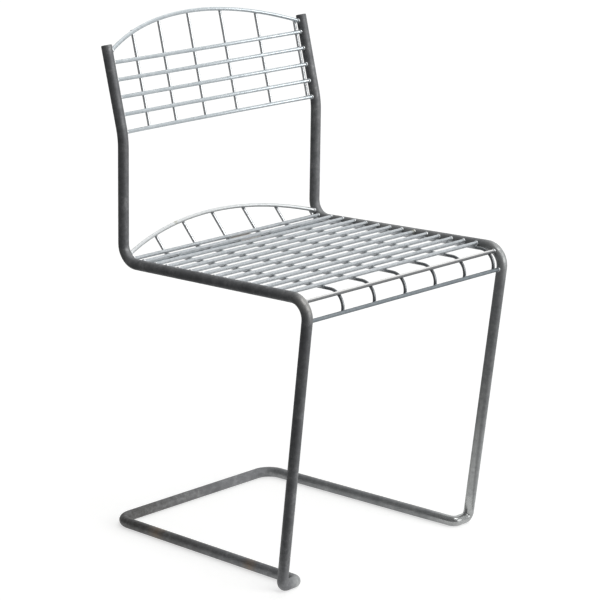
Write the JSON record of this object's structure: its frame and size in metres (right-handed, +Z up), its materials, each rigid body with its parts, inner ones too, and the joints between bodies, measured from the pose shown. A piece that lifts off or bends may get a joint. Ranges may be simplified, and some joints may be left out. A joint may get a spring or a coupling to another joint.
{
  "type": "steel wire chair",
  "caption": "Cantilever dining chair: one bent round steel bar carries a flat welded wire seat with a turned-down front edge and a bowed, arched wire back.",
  "frame": {"origin": "on the floor, under the middle of the chair's bounding box", "axes": "+Z up, -Y towards the front edge of the seat, +X to the left of a person sitting in it"},
  "size_m": [0.4558, 0.4692, 0.7997],
  "materials": {
    "galvanised_bar": "hot-dip galvanised round bar, dull mottled grey",
    "zinc_wire": "bright galvanised wire, light bluish grey",
    "long_wire": "thin drawn wire under zinc, darker than the cross wires",
    "seat_wire": "galvanised wire, mid grey with a worn top",
    "tag_steel": "dull galvanised sheet with a brown tint"
  },
  "bodies": {
    "root": {"frame_bar": "galvanised_bar", "seat_long_wire_1": "long_wire", "seat_long_wire_2": "long_wire", "seat_long_wire_3": "long_wire", "seat_long_wire_4": "long_wire", "seat_long_wire_5": "long_wire", "seat_long_wire_6": "long_wire", "seat_long_wire_7": "long_wire", "seat_cross_wire_01": "seat_wire", "seat_cross_wire_02": "seat_wire", "seat_cross_wire_03": "seat_wire", "seat_cross_wire_04": "seat_wire", "seat_cross_wire_05": "seat_wire", "seat_cross_wire_06": "seat_wire", "seat_cross_wire_07": "seat_wire", "seat_cross_wire_08": "seat_wire", "seat_cross_wire_09": "seat_wire", "seat_cross_wire_10": "seat_wire", "seat_cross_wire_11": "seat_wire", "seat_cross_wire_12": "seat_wire", "seat_cross_wire_13": "seat_wire", "seat_cross_wire_14": "seat_wire", "seat_edge_wire_upper": "seat_wire", "seat_edge_wire_lower": "seat_wire", "seat_rear_arch_wire": "zinc_wire", "seat_under_wire": "seat_wire", "back_cross_wire_1": "zinc_wire", "back_cross_wire_2": "zinc_wire", "back_cross_wire_3": "zinc_wire", "back_cross_wire_4": "zinc_wire", "back_cross_wire_5": "zinc_wire", "back_arch_wire": "zinc_wire", "back_upright_wire_1": "long_wire", "back_upright_wire_2": "long_wire", "back_upright_wire_3": "long_wire", "back_upright_wire_4": "long_wire", "back_upright_wire_5": "long_wire", "back_upright_wire_6": "long_wire", "back_upright_wire_7": "long_wire", "tag_plate": "tag_steel"}
  },
  "joints": []
}
